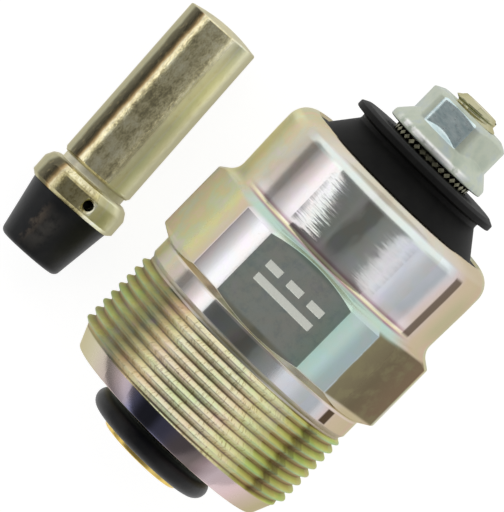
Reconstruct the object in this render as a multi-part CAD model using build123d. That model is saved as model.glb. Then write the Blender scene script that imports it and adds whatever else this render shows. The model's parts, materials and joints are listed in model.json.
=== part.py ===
from build123d import *
import os
from math import atan, cos, degrees, radians, sin, tan

# Screw-in fuel shutoff solenoid for a diesel injection pump, with its plunger taken out.
#
# The housing is one turned steel piece: a fine thread with a lead-in, a plain collar, a hexagon and a
# plain can. A brass guide tube stands out of its end and carries the nose seal. Round the tube sits
# the coil; in its far end sits the fixed core with the return spring in a blind hole. A black
# insulator under the can's rolled lip carries the terminal stud, a toothed washer and a flange nut.
#
# Every piece of the solenoid is modelled on its own axis, +Z from the open end of the guide tube to
# the terminal, and the plunger on its own axis, +Z from the rubber tip to the shank's crowned end.
# At the end both are laid down on one surface, as they rest: the solenoid on a flat of its hexagon
# with its axis along +X, and the plunger beside it on its collar and the far edge of its shank.
# The origin is on the solenoid's axis, where the thread meets the collar. Sizes are in millimetres.

# Fits, as radial or axial gaps
press_gap = 0.02
running_gap = 0.04
loose_gap = 0.1

# Housing: outside, from the nose to the lip
nose_reach = 3.4
lead_length = 1.9
lead_end_diameter = 21.4
lead_root_diameter = 23.1
thread_diameter = 24.0
thread_length = 8.2
collar_diameter = 23.5
collar_length = 2.35
hexagon_width = 24.0
hexagon_length = 8.55
hexagon_lower_angle = 31.0
hexagon_upper_angle = 36.0
can_diameter = 23.4
can_swell = 0.15
can_corner_reach = 1.225
can_taper_length = 5.2
can_length = 8.7
can_root_radius = 1.7
can_shoulder_radius = 2.0

# Housing: inside
cavity_diameter = 20.6
end_wall = 4.0
lip_length = 0.8
lip_bore_diameter = 19.8
nose_seat_diameter = 13.0

# Guide tube, nose bush and nose seal
shank_diameter = 7.5
tube_wall = 0.48
tube_edge_radius = 0.18
bush_boss_diameter = 10.8
bush_boss_length = 0.7
bush_flange_length = 2.0
bush_edge_chamfer = 0.4
nose_seal_section = 2.3
nose_seal_lift = 1.53

# Plunger, from the rubber tip to the crowned end
tip_end_diameter = 6.4
tip_root_diameter = 8.35
tip_length = 5.8
tip_edge_radius = 0.5
tip_dish_depth = 0.25
cup_diameter = 9.35
cup_mouth_diameter = 8.5
cup_length = 2.95
cup_bevel_length = 0.5
cup_shoulder_radius = 0.55
neck_diameter = 6.8
neck_length = 0.65
shank_length = 17.45
shank_crown = 0.45
shank_chamfer = 0.25
shank_end_chamfer = 0.15
pocket_diameter = 6.9
pocket_depth = 2.3
bead_height = 0.25
bead_length = 0.6
bead_lift = 0.45
stem_length = 1.3
vent_diameter = 1.0
vent_rim_diameter = 1.35
vent_lift = 1.65
vent_azimuth = 18.3

# Magnetic circuit and coil
plunger_gap = 1.55
core_collar_length = 0.55
core_collar_diameter = 10.4
core_spigot_diameter = 6.0
core_edge_chamfer = 0.4
spring_hole_depth = 6.0
bobbin_length = 18.1
bobbin_wall = 0.8
bobbin_flange = 0.9
bobbin_notch_width = 1.3
tape_recess = 0.65
tape_thickness = 0.25
core_seal_section = 0.8
core_seal_drop = 1.5
curved_washer_bore = 16.8
curved_washer_thickness = 0.25
curved_washer_rise = 0.35
plate_thickness = 2.0

# Return spring
spring_diameter = 4.6
spring_wire = 0.5
spring_pitch = 1.15
spring_length = 9.4

# Terminal
disc_thickness = 0.5
disc_diameter = 9.8
lug_thickness = 0.5
lug_diameter = 8.8
lug_tab_width = 2.0
lead_wire = 0.6
lead_circle_diameter = 14.4
lead_hole_diameter = 1.8
earth_hole_depth = 0.5
stud_diameter = 5.0
stud_head_width = 6.5
stud_head_length = 1.5
stud_reach = 6.6
stud_end_diameter = 3.6
stud_end_length = 0.55

# Insulator
insulator_step_drop = 0.25
insulator_ledge = 0.85
insulator_neck_diameter = 14.0
insulator_cone_length = 2.5
insulator_neck_length = 0.5
insulator_flange_diameter = 16.1
insulator_flange_length = 1.0
insulator_flange_rise = 0.15
insulator_flange_bevel = 0.3
insulator_seal_section = 1.0

# Toothed washer and flange nut
washer_diameter = 8.7
washer_bore = 5.4
washer_sheet = 0.35
tooth_count = 36
tooth_length = 0.55
tooth_root = 0.15
tooth_width = 0.52
tooth_twist = 40.0
nut_width = 8.0
nut_corner_diameter = 8.75
nut_flange_diameter = 10.75
nut_rim_length = 0.65
nut_skirt_length = 1.1
nut_length = 4.85
nut_seat_gap = 0.1
nut_top_chamfer = 0.45
nut_turned = 13.0

# Where the plunger lies beside the solenoid, seen from above
plunger_forward = 5.0
plunger_beside = 20.3
plunger_yaw = 3.3

# Levels along the solenoid's axis, from the guide tube's open end
housing_end = nose_reach
thread_start = housing_end + lead_length
thread_top = thread_start + thread_length
hexagon_start = thread_top + collar_length
hexagon_top = hexagon_start + hexagon_length
housing_top = hexagon_top + can_length
cavity_floor = housing_end + end_wall
coil_start = cavity_floor + bush_flange_length
coil_top = coil_start + bobbin_length
plate_start = coil_top + curved_washer_thickness + curved_washer_rise
plate_top = plate_start + plate_thickness
core_face = shank_length + shank_crown + plunger_gap
spring_seat = core_face + spring_hole_depth
lug_start = plate_top + disc_thickness
head_start = lug_start + lug_thickness
head_top = head_start + stud_head_length
lip_start = housing_top - lip_length
insulator_step_top = housing_top - insulator_step_drop
insulator_neck_start = insulator_step_top + insulator_cone_length
insulator_flange_start = insulator_neck_start + insulator_neck_length
insulator_top = insulator_flange_start + insulator_flange_length
tooth_rise = tooth_width * sin(radians(tooth_twist)) + washer_sheet * cos(radians(tooth_twist))
washer_top = insulator_top + tooth_rise
nut_start = washer_top + nut_seat_gap
stud_top = insulator_top + stud_reach

# Radii that several pieces share
thread_radius = thread_diameter / 2
cavity_radius = cavity_diameter / 2
tube_bore_radius = shank_diameter / 2 + running_gap
tube_radius = tube_bore_radius + tube_wall
core_radius = tube_bore_radius - press_gap
bobbin_bore_radius = tube_radius + loose_gap
bobbin_core_radius = bobbin_bore_radius + bobbin_wall
inner_radius = cavity_radius - loose_gap
winding_radius = inner_radius - tape_recess - tape_thickness
lead_circle = lead_circle_diameter / 2
stud_radius = stud_diameter / 2
rest_height = max(thread_diameter, hexagon_width) / 2


def turned(*points, rounds=()):
    """Solid of revolution about Z from (radius, height) points; rounds are (point, radius) pairs."""
    section = make_face(Polyline(*points, close=True))
    for corner, radius in rounds:
        section = fillet(section.vertices().sort_by_distance(Vector(*corner))[0], radius)
    return revolve(Plane.XZ * section, Axis.Z)


def hexagon_prism(width, start, length, turn=30.0):
    """Hexagonal bar with that width across flats; at a turn of 30 two flats face along X."""
    outline = RegularPolygon(width / 2, 6, major_radius=False, rotation=turn)
    return Pos(0, 0, start) * extrude(outline, length)


def cap_radius(reach, height):
    """Radius of the ball whose cap has that reach from its axis and that height."""
    return (reach**2 + height**2) / (2 * height)


def make_housing():
    """Turned steel body: lead-in, thread at its major diameter, collar, hexagon, can and lip."""
    end = lead_end_diameter / 2
    root = lead_root_diameter / 2
    collar = collar_diameter / 2
    can = can_diameter / 2
    can_root = can - can_swell
    corner = can + can_corner_reach
    lower_rise = (corner - collar) * tan(radians(hexagon_lower_angle))
    upper_rise = (corner - can_root) * tan(radians(hexagon_upper_angle))
    thread_lead = thread_radius - root
    body = turned(
        (0, housing_end),
        (end, housing_end),
        (root, thread_start),
        (thread_radius, thread_start + thread_lead),
        (thread_radius, thread_top),
        (collar, thread_top),
        (collar, hexagon_start),
        (corner, hexagon_start + lower_rise),
        (corner, hexagon_top - upper_rise),
        (can_root, hexagon_top),
        (can, hexagon_top + can_taper_length),
        (can, housing_top),
        (0, housing_top),
        rounds=(
            ((can_root, hexagon_top), can_root_radius),
            ((can, housing_top), can_shoulder_radius),
        ),
    )
    flat_cutter = Pos(0, 0, hexagon_start) * extrude(
        Circle(corner + 1) - RegularPolygon(hexagon_width / 2, 6, major_radius=False, rotation=30),
        hexagon_length,
    )
    seat = nose_seat_diameter / 2
    lip = lip_bore_diameter / 2
    inside = turned(
        (0, housing_end - 1),
        (seat, housing_end - 1),
        (seat, cavity_floor),
        (cavity_radius, cavity_floor),
        (cavity_radius, lip_start),
        (lip, lip_start),
        (lip, housing_top + 1),
        (0, housing_top + 1),
    )
    return body - flat_cutter - inside


def make_nose_bush():
    """Steel pole bush in the housing's end wall, with the boss that backs the nose seal."""
    bore = tube_radius + press_gap
    boss = bush_boss_diameter / 2
    seat = nose_seat_diameter / 2 - press_gap
    return turned(
        (bore, housing_end - bush_boss_length),
        (boss - bush_edge_chamfer / 2, housing_end - bush_boss_length),
        (boss, housing_end - bush_boss_length + bush_edge_chamfer / 2),
        (boss, housing_end),
        (seat, housing_end),
        (seat, cavity_floor),
        (inner_radius, cavity_floor),
        (inner_radius, coil_start - bush_edge_chamfer),
        (inner_radius - bush_edge_chamfer, coil_start),
        (bore, coil_start),
    )


def make_guide_tube():
    """Brass tube that the plunger runs in, open at the nose."""
    return turned(
        (tube_bore_radius, 0),
        (tube_radius, 0),
        (tube_radius, coil_top),
        (tube_bore_radius, coil_top),
        rounds=(((tube_radius, 0), tube_edge_radius),),
    )


def ring_seal(inner_radius, section, level):
    """Round-section rubber ring lying flat at a level."""
    centre = inner_radius + section / 2
    return revolve(Plane.XZ * Pos(centre, level) * Circle(section / 2), Axis.Z)


def make_bobbin():
    """Moulded coil former, with a notch in its upper flange for each end of the wire."""
    rim = inner_radius
    body = turned(
        (bobbin_bore_radius, coil_start),
        (rim, coil_start),
        (rim, coil_start + bobbin_flange),
        (bobbin_core_radius, coil_start + bobbin_flange),
        (bobbin_core_radius, coil_top - bobbin_flange),
        (rim, coil_top - bobbin_flange),
        (rim, coil_top),
        (bobbin_bore_radius, coil_top),
    )
    notch_start = lead_circle - bobbin_notch_width / 2
    notch_length = rim - notch_start + 1
    notch = Box(notch_length, bobbin_notch_width, 2 * bobbin_flange)
    for side in (-1, 1):
        body -= Pos(side * (notch_start + notch_length / 2), 0, coil_top) * notch
    return body


def make_winding():
    """The wound wire as one solid, from the former's core to the tape."""
    return turned(
        (bobbin_core_radius + press_gap, coil_start + bobbin_flange),
        (winding_radius, coil_start + bobbin_flange),
        (winding_radius, coil_top - bobbin_flange),
        (bobbin_core_radius + press_gap, coil_top - bobbin_flange),
    )


def make_winding_tape():
    """Insulating tape wrapped once round the winding."""
    start = coil_start + bobbin_flange + loose_gap
    stop = coil_top - bobbin_flange - loose_gap
    outer = winding_radius + tape_thickness
    return turned((winding_radius, start), (outer, start), (outer, stop), (winding_radius, stop))


def make_fixed_core():
    """Steel core in the tube's far end, with the spring hole, a seal groove and a riveted spigot."""
    collar = core_collar_diameter / 2
    spigot = core_spigot_diameter / 2
    groove = core_radius - core_seal_section - press_gap
    seal_level = coil_top - core_seal_drop
    half_groove = core_seal_section / 2 + press_gap
    hole = spring_diameter / 2 + loose_gap
    body = turned(
        (0, core_face),
        (core_radius - core_edge_chamfer, core_face),
        (core_radius, core_face + core_edge_chamfer),
        (core_radius, seal_level - half_groove),
        (groove, seal_level - half_groove),
        (groove, seal_level + half_groove),
        (core_radius, seal_level + half_groove),
        (core_radius, plate_start - core_collar_length),
        (collar, plate_start - core_collar_length),
        (collar, plate_start),
        (spigot, plate_start),
        (spigot, plate_top),
        (0, plate_top),
    )
    point = (hole, spring_seat)
    tip = (0, spring_seat + hole * tan(radians(30)))
    drilled = turned((0, core_face - 1), (hole, core_face - 1), point, tip)
    return body - drilled


def make_return_spring():
    """Compression spring held in the core's blind hole, with its free end towards the nose."""
    coil_radius = (spring_diameter - spring_wire) / 2
    rise = spring_length - spring_wire
    start = spring_seat - spring_wire / 2 - rise
    path = Pos(0, 0, start) * Helix(spring_pitch, rise, coil_radius)
    wire = Plane(origin=path @ 0, z_dir=path % 0) * Circle(spring_wire / 2)
    return sweep(wire, path)


def make_curved_washer():
    """Spring washer bent about one axis; it takes up the slack above the coil."""
    outer = inner_radius
    bend = cap_radius(outer, curved_washer_rise)
    ring = extrude(Circle(outer) - Circle(curved_washer_bore / 2), plate_start - coil_top)
    shell = Cylinder(bend, 3 * outer) - Cylinder(bend - curved_washer_thickness, 3 * outer)
    bent = Pos(0, 0, plate_start - bend) * Rot(90, 0, 0) * shell
    return (Pos(0, 0, coil_top) * ring) & bent


def make_pole_plate():
    """Steel plate over the coil, with a hole for the core, the live lead and the earth lead's end."""
    plate = Pos(0, 0, plate_start) * extrude(
        Circle(inner_radius) - Circle(core_spigot_diameter / 2 + press_gap), plate_thickness
    )
    live_hole = Cylinder(lead_hole_diameter / 2, 2 * plate_thickness)
    earth_hole = Cylinder(lead_wire / 2 + press_gap, 2 * earth_hole_depth)
    plate -= Pos(lead_circle, 0, plate_top - plate_thickness / 2) * live_hole
    plate -= Pos(-lead_circle, 0, plate_start) * earth_hole
    return plate


def make_insulating_disc():
    """Fibre disc that keeps the lug off the plate."""
    return Pos(0, 0, plate_top) * extrude(Circle(disc_diameter / 2), disc_thickness)


def make_contact_lug():
    """Brass ring under the stud's head, with a tab out to the live lead."""
    tab_reach = lead_circle + lead_wire
    tab = Pos(tab_reach / 2, 0) * Rectangle(tab_reach, lug_tab_width)
    outline = Circle(lug_diameter / 2) + tab - Circle(stud_radius + press_gap)
    return Pos(0, 0, lug_start) * extrude(outline, lug_thickness)


def make_lead(side, top):
    """One end of the winding's wire, straight up from the winding through its notch."""
    start = coil_top - bobbin_flange
    return Pos(side * lead_circle, 0, start) * extrude(Circle(lead_wire / 2), top - start)


def make_terminal_stud():
    """Stud with a hexagonal head in the insulator and a spigot riveted into the lug."""
    shank = turned(
        (0, lug_start),
        (stud_radius, lug_start),
        (stud_radius, stud_top - stud_end_length),
        (stud_end_diameter / 2, stud_top),
        (0, stud_top),
    )
    return shank + hexagon_prism(stud_head_width, head_start, stud_head_length)


def make_terminal_insulator():
    """Black moulding under the lip: seal groove, cone, neck and flange, with pockets underneath."""
    step = lip_bore_diameter / 2 - loose_gap
    seat_top = lip_start
    neck = insulator_neck_diameter / 2
    flange = insulator_flange_diameter / 2
    flange_low = insulator_flange_start + insulator_flange_rise
    body = turned(
        (0, plate_top),
        (inner_radius, plate_top),
        (inner_radius, seat_top),
        (step, seat_top),
        (step, insulator_step_top),
        (step - insulator_ledge, insulator_step_top),
        (neck, insulator_neck_start),
        (neck, insulator_flange_start),
        (flange, flange_low),
        (flange, insulator_top - insulator_flange_bevel),
        (flange - 2 * insulator_flange_bevel, insulator_top),
        (0, insulator_top),
        rounds=(((flange, flange_low), insulator_flange_bevel / 2),),
    )
    seal_level = (plate_top + seat_top) / 2
    half_groove = insulator_seal_section / 2 + press_gap
    groove = cavity_radius - insulator_seal_section - press_gap
    body -= turned(
        (groove, seal_level - half_groove),
        (cavity_radius + 1, seal_level - half_groove),
        (cavity_radius + 1, seal_level + half_groove),
        (groove, seal_level + half_groove),
    )
    pocket_depth = disc_thickness + lug_thickness + press_gap
    body -= Pos(0, 0, plate_top) * extrude(Circle(disc_diameter / 2 + press_gap), pocket_depth)
    slot_reach = lead_circle + 2 * lead_wire
    slot = Box(slot_reach, lug_tab_width + 2 * press_gap, 2 * pocket_depth)
    body -= Pos(slot_reach / 2, 0, plate_top) * slot
    body -= hexagon_prism(stud_head_width + 2 * press_gap, head_start, stud_head_length)
    return body - Pos(0, 0, plate_top) * Cylinder(
        stud_radius + press_gap, insulator_top, align=(Align.CENTER, Align.CENTER, Align.MIN)
    )


def make_tooth_washer():
    """Lock washer with twisted teeth round its rim."""
    root = washer_diameter / 2 - tooth_length
    sheet_start = (tooth_rise - washer_sheet) / 2
    ring = Pos(0, 0, sheet_start) * extrude(Circle(root) - Circle(washer_bore / 2), washer_sheet)
    reach = tooth_length + tooth_root
    tooth = Rot(tooth_twist, 0, 0) * Box(reach, tooth_width, washer_sheet)
    tooth = Pos(washer_diameter / 2 - reach / 2, 0, tooth_rise / 2) * tooth
    teeth = [Rot(0, 0, 360 * i / tooth_count) * tooth for i in range(tooth_count)]
    return Pos(0, 0, insulator_top) * (ring + teeth)


def make_terminal_nut():
    """Hexagon nut with a sloped flange, bored to the stud's major diameter."""
    corner = nut_corner_diameter / 2
    flange = nut_flange_diameter / 2
    top_rise = nut_top_chamfer
    body = turned(
        (0, 0),
        (flange, 0),
        (flange, nut_rim_length),
        (corner, nut_rim_length + nut_skirt_length),
        (corner, nut_length - top_rise),
        (corner - 2 * top_rise, nut_length),
        (0, nut_length),
        rounds=(((flange, 0), nut_rim_length / 3), ((flange, nut_rim_length), nut_rim_length / 3)),
    )
    hexagon_base = nut_rim_length + nut_skirt_length / 2
    hexagon = RegularPolygon(nut_width / 2, 6, major_radius=False, rotation=nut_turned)
    body -= Pos(0, 0, hexagon_base) * extrude(Circle(flange + 1) - hexagon, nut_length)
    body -= Cylinder(stud_radius + running_gap, 3 * nut_length)
    return Pos(0, 0, nut_start) * body


def make_plunger():
    """Nickel-plated plunger: cup for the rubber tip, neck and crowned shank, with a vent into the cup."""
    cup_end = tip_length + cup_length
    neck_end = cup_end + neck_length
    shank_top = neck_end + shank_length
    cup = cup_diameter / 2
    mouth = cup_mouth_diameter / 2
    neck = neck_diameter / 2
    shank = shank_diameter / 2
    body = turned(
        (0, tip_length),
        (mouth, tip_length),
        (cup, tip_length + cup_bevel_length),
        (cup, cup_end),
        (neck, cup_end),
        (neck, neck_end),
        (shank - shank_chamfer, neck_end),
        (shank, neck_end + shank_chamfer),
        (shank, shank_top - shank_end_chamfer),
        (shank - shank_end_chamfer, shank_top),
        (0, shank_top),
        rounds=(((cup, cup_end), cup_shoulder_radius),),
    )
    end_face = shank - shank_end_chamfer
    ball = cap_radius(end_face, shank_crown)
    cap = Cylinder(end_face, shank_crown, align=(Align.CENTER, Align.CENTER, Align.MIN))
    body += Pos(0, 0, shank_top) * (cap & Pos(0, 0, shank_crown - ball) * Sphere(ball))
    pocket = pocket_diameter / 2
    body -= Pos(0, 0, tip_length) * Cylinder(pocket, 2 * pocket_depth)
    body -= stem_bead(pocket + press_gap, bead_height, bead_length + 2 * press_gap)
    vent_drill = Cylinder(vent_diameter / 2, cup, align=(Align.CENTER, Align.CENTER, Align.MIN))
    rim_depth = (vent_rim_diameter - vent_diameter) / 2
    rim_cone = Cone(vent_diameter / 2, vent_rim_diameter / 2 + rim_depth, 2 * rim_depth)
    vent = vent_drill + Pos(0, 0, cup) * rim_cone
    # Straight up once the plunger lies down is -X here, and the vent looks a little to one side.
    vent_place = Pos(0, 0, tip_length + vent_lift) * Rot(0, 0, 180 + vent_azimuth) * Rot(0, 90, 0)
    return body - vent_place * vent


def stem_bead(radius, height, length):
    """Round bead that keeps the rubber stem in the cup."""
    middle = tip_length + bead_lift + bead_length / 2
    return turned(
        (0, middle - length / 2),
        (radius, middle - length / 2),
        (radius + height, middle),
        (radius, middle + length / 2),
        (0, middle + length / 2),
    )


def make_valve_tip():
    """Rubber cone that closes the fuel passage, with a beaded stem in the plunger's cup."""
    end = tip_end_diameter / 2
    root = tip_root_diameter / 2
    stem = pocket_diameter / 2 - press_gap
    cone = turned(
        (0, 0),
        (end, 0),
        (root, tip_length),
        (stem, tip_length),
        (stem, tip_length + stem_length),
        (0, tip_length + stem_length),
        rounds=(((end, 0), tip_edge_radius),),
    )
    dish_radius = end - 2 * tip_edge_radius
    ball = cap_radius(dish_radius, tip_dish_depth)
    cone -= Pos(0, 0, tip_dish_depth - ball) * Sphere(ball)
    return cone + stem_bead(stem, bead_height, bead_length)


def laid_solenoid():
    """Turns the solenoid's +Z to +X, its -X to +Z, and moves the top of the thread to the origin."""
    return Rot(0, 90, 0) * Pos(0, 0, -thread_top)


def laid_plunger():
    """Lays the plunger down on the rim of its cup and the far edge of its shank, beside the solenoid."""
    cup_contact = tip_length + cup_length - cup_shoulder_radius
    end_contact = tip_length + cup_length + neck_length + shank_length - shank_end_chamfer
    drop = (cup_diameter - shank_diameter) / 2
    nod = degrees(atan(drop / (end_contact - cup_contact)))
    axis_height = cup_diameter / 2 * cos(radians(nod)) + cup_contact * sin(radians(nod))
    tip_place = Pos(plunger_forward - thread_top, plunger_beside, axis_height - rest_height)
    return tip_place * Rot(0, 0, plunger_yaw) * Rot(0, 90 + nod, 0)


core_seal_inner = core_radius - core_seal_section
insulator_seal_inner = cavity_radius - insulator_seal_section

solenoid_pieces = {
    "housing": make_housing(),
    "nose_bush": make_nose_bush(),
    "guide_tube": make_guide_tube(),
    "nose_o_ring": ring_seal(tube_radius + press_gap, nose_seal_section, nose_seal_lift),
    "bobbin": make_bobbin(),
    "winding": make_winding(),
    "winding_tape": make_winding_tape(),
    "fixed_core": make_fixed_core(),
    "core_seal": ring_seal(core_seal_inner, core_seal_section, coil_top - core_seal_drop),
    "return_spring": make_return_spring(),
    "curved_washer": make_curved_washer(),
    "pole_plate": make_pole_plate(),
    "insulating_disc": make_insulating_disc(),
    "contact_lug": make_contact_lug(),
    "live_lead": make_lead(1, lug_start),
    "earth_lead": make_lead(-1, plate_start + earth_hole_depth),
    "terminal_stud": make_terminal_stud(),
    "terminal_insulator": make_terminal_insulator(),
    "insulator_seal": ring_seal(
        insulator_seal_inner, insulator_seal_section, (plate_top + lip_start) / 2
    ),
    "tooth_washer": make_tooth_washer(),
    "terminal_nut": make_terminal_nut(),
}
plunger_pieces = {"plunger": make_plunger(), "valve_tip": make_valve_tip()}

os.makedirs("parts", exist_ok=True)
for name, piece in solenoid_pieces.items():
    export_step(laid_solenoid() * piece, f"parts/{name}.step")
for name, piece in plunger_pieces.items():
    export_step(laid_plunger() * piece, f"parts/{name}.step")
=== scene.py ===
"""Looks of a screw-in fuel shutoff solenoid that lies beside its plunger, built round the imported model."""

import json
from math import acos, asin, atan, cos, pi, radians, sin, tan

import bmesh
import bpy
from mathutils import Matrix, Vector


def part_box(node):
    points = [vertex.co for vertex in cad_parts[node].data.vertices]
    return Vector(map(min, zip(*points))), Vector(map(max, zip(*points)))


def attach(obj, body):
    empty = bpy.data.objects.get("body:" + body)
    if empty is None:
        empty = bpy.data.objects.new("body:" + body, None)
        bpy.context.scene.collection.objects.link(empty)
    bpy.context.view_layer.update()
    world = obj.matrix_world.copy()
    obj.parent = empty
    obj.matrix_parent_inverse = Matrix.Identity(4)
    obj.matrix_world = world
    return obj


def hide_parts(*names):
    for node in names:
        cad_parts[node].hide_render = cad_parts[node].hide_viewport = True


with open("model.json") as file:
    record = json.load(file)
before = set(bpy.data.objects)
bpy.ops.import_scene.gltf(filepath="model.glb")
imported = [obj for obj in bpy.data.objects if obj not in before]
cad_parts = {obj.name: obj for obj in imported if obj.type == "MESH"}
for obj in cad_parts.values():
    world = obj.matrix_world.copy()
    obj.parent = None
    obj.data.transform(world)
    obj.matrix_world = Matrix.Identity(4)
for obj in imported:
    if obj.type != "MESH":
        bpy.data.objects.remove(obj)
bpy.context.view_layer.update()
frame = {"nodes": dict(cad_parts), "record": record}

MM = 0.001
ROUND_STEPS = 5
FINE = 192


def level(node, end):
    """Lowest (0) or highest (1) place of a node along the solenoid's axis, in millimetres."""
    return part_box(node)[end].x / MM


def reach(node):
    """Largest radius of a turned node about the solenoid's axis, in millimetres."""
    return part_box(node)[1].y / MM


# Levels along the axis and radii in millimetres; the origin is where the thread meets the collar.
HOUSING_END = level("housing", 0)
HOUSING_TOP = level("housing", 1)
THREAD_PITCH = 1.0
THREAD_DEPTH = 0.5
THREAD_START = -8.2
THREAD_TOP = 0.0
THREAD_RADIUS = 12.0
THREAD_PHASE = -7.49
LEAD_END_RADIUS = 10.7
LEAD_ROOT_RADIUS = 11.55
COLLAR_RADIUS = 11.75
RUN_OUT_RADIUS = 11.5
RUN_OUT_SLOPE = 1.4
HEXAGON_START = 2.35
HEXAGON_TOP = 10.9
HEXAGON_APOTHEM = 12.0
HEXAGON_CORNER = 12.925
HEXAGON_LOWER_SLOPE = tan(radians(31.0))
HEXAGON_UPPER_SLOPE = tan(radians(36.0))
CAN_RADIUS = 11.7
CAN_ROOT_RADIUS = 11.55
CAN_TAPER = 5.2
CAN_FILLET = 1.7
CAN_SHOULDER = 2.0
CAVITY_RADIUS = 10.3
CAVITY_FLOOR = HOUSING_END + 4.0
LIP_BORE_RADIUS = 9.9
LIP_LENGTH = 0.8
NOSE_SEAT_RADIUS = 6.5
TUBE_BORE_RADIUS = 3.79
EDGE = 0.12
CONTENTS_RADIUS = 10.2
CLEARANCE = 0.02
STUD_RADIUS = 2.45
STUD_PITCH = 0.8
STUD_DEPTH = 0.45
STUD_PHASE = 0.0
# How far below a thread's root the body under it lies
UNDER_THREAD = 0.06
# Points closer than this, in metres, are one
WELD = 1e-7


def rounded(corners, loop=False):
    """Profile through (x, radius, rounding) corners, with an arc of that rounding at each corner."""
    points = []
    count = len(corners)
    for i, (x, r, rounding) in enumerate(corners):
        here = Vector((x, r))
        ends = not loop and i in (0, count - 1)
        if ends or rounding <= 0:
            points.append(here)
            continue
        before = Vector(corners[i - 1][:2]) - here
        after = Vector(corners[(i + 1) % count][:2]) - here
        turn = before.angle(after)
        if pi - turn < 0.01:
            points.append(here)
            continue
        set_back = min(rounding / tan(turn / 2), 0.49 * before.length, 0.49 * after.length)
        start = here + before.normalized() * set_back
        stop = here + after.normalized() * set_back
        radius = set_back * tan(turn / 2)
        centre = here + (before.normalized() + after.normalized()).normalized() * (radius / sin(turn / 2))
        first = start - centre
        sweep = first.angle_signed(stop - centre)
        for k in range(ROUND_STEPS + 1):
            arm = first.copy()
            arm.rotate(Matrix.Rotation(-sweep * k / ROUND_STEPS, 2))
            points.append(centre + arm)
    return points


def place(x, r, angle):
    """Point at a level, radius and angle about the axis; angle 0 is straight up, and it grows towards -Y."""
    return Vector((x, -r * sin(angle), r * cos(angle))) * MM


def make_object(name, shape):
    """New object in the scene from a bmesh, which is freed."""
    mesh = bpy.data.meshes.new(name)
    shape.to_mesh(mesh)
    shape.free()
    piece = bpy.data.objects.new(name, mesh)
    bpy.context.scene.collection.objects.link(piece)
    return piece


def skin(name, columns, loop=False):
    """Closed round surface from (angle, profile) columns with equally many profile points."""
    shape = bmesh.new()
    grid = [[shape.verts.new(place(x, r, angle)) for x, r in profile] for angle, profile in columns]
    rows = len(columns[0][1])
    for i, left in enumerate(grid):
        right = grid[(i + 1) % len(grid)]
        for j in range(rows if loop else rows - 1):
            k = (j + 1) % rows
            shape.faces.new((left[j], right[j], right[k], left[k]))
    bmesh.ops.remove_doubles(shape, verts=shape.verts, dist=WELD)
    bmesh.ops.recalc_face_normals(shape, faces=shape.faces)
    for face in shape.faces:
        face.smooth = True
    return make_object(name, shape)


def even_angles(count=FINE):
    return [2 * pi * i / count for i in range(count)]


def lathe(name, corners, loop=False, count=FINE):
    """Turned piece about the solenoid's axis."""
    profile = rounded(corners, loop)
    return skin(name, [(angle, profile) for angle in even_angles(count)], loop)


def join(name, pieces):
    """One object from several."""
    shape = bmesh.new()
    for piece in pieces:
        shape.from_mesh(piece.data)
        bpy.data.objects.remove(piece)
    return make_object(name, shape)


def thread(name, start, stop, radius, pitch, depth, phase, envelope, count=216, inner=False):
    """Helical thread band between two levels, facing outwards, or inwards for an inner thread.

    The envelope gives the largest and the smallest radius at a level.
    """
    # Share of a pitch, and share of the depth below the crest
    form = (
        (0.0, 0.0), (0.045, 0.008), (0.075, 0.06), (0.36, 0.95), (0.40, 0.992),
        (0.5, 1.0), (0.60, 0.992), (0.64, 0.95), (0.925, 0.06), (0.955, 0.008),
    )
    turns = int((stop - start) / pitch) + 3
    first = phase + pitch * (int((start - phase) / pitch) - 2)
    shape = bmesh.new()
    grid = []
    for j in range(count + 1):
        angle = 2 * pi * j / count
        column = []
        for turn in range(turns):
            for share, drop in form:
                x = first + pitch * (turn + share + angle / (2 * pi))
                x = min(max(x, start), stop)
                r = min(max(radius - depth * drop, envelope(x)[1]), envelope(x)[0])
                column.append(shape.verts.new(place(x, r, angle)))
        grid.append(column)
    for left, right in zip(grid, grid[1:]):
        for k in range(len(left) - 1):
            corners = (left[k], right[k], right[k + 1], left[k + 1])
            if max(v.co.x for v in corners) - min(v.co.x for v in corners) > WELD:
                shape.faces.new(corners)
    bmesh.ops.remove_doubles(shape, verts=shape.verts, dist=2 * WELD)
    loose = [v for v in shape.verts if not v.link_faces]
    bmesh.ops.delete(shape, geom=loose, context="VERTS")
    for face in shape.faces:
        face.smooth = True
        middle = face.calc_center_median()
        outward = face.normal.dot(Vector((0, middle.y, middle.z))) > 0
        if outward == inner:
            face.normal_flip()
    return make_object(name, shape)


def hexagon_angles(apothem, corner, turned=0.0, flat_columns=12, strip_columns=4, close=radians(0.35)):
    """Angles for columns round a hexagon with turned corners, with a column at each edge of each flat."""
    half_flat = acos(apothem / corner)
    half_strip = pi / 6 - half_flat
    flat = [-half_flat + close + 2 * (half_flat - close) * i / flat_columns for i in range(flat_columns + 1)]
    strip = [half_flat, half_flat + close]
    strip += [half_flat + 2 * half_strip * i / strip_columns for i in range(1, strip_columns)]
    strip += [pi / 3 - half_flat - close, pi / 3 - half_flat]
    return [turned + k * pi / 3 + angle for k in range(6) for angle in flat + strip]


def hexagon_radius(angle, apothem, corner, turned=0.0):
    """Radius of the hexagon at an angle, limited by its turned corners."""
    local = (angle - turned + pi / 6) % (pi / 3) - pi / 6
    return min(corner, apothem / cos(local))


def can_shoulder(steps=14):
    """Corners along the can's rounded shoulder, from its side to where the lip's bore cuts it."""
    last = acos((LIP_BORE_RADIUS - CAN_RADIUS + CAN_SHOULDER) / CAN_SHOULDER)
    x, r = HOUSING_TOP - CAN_SHOULDER * sin(last), CAN_RADIUS - CAN_SHOULDER
    turns = [last * i / steps for i in range(steps + 1)]
    return [(x + CAN_SHOULDER * sin(turn), r + CAN_SHOULDER * cos(turn), 0) for turn in turns]


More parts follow.
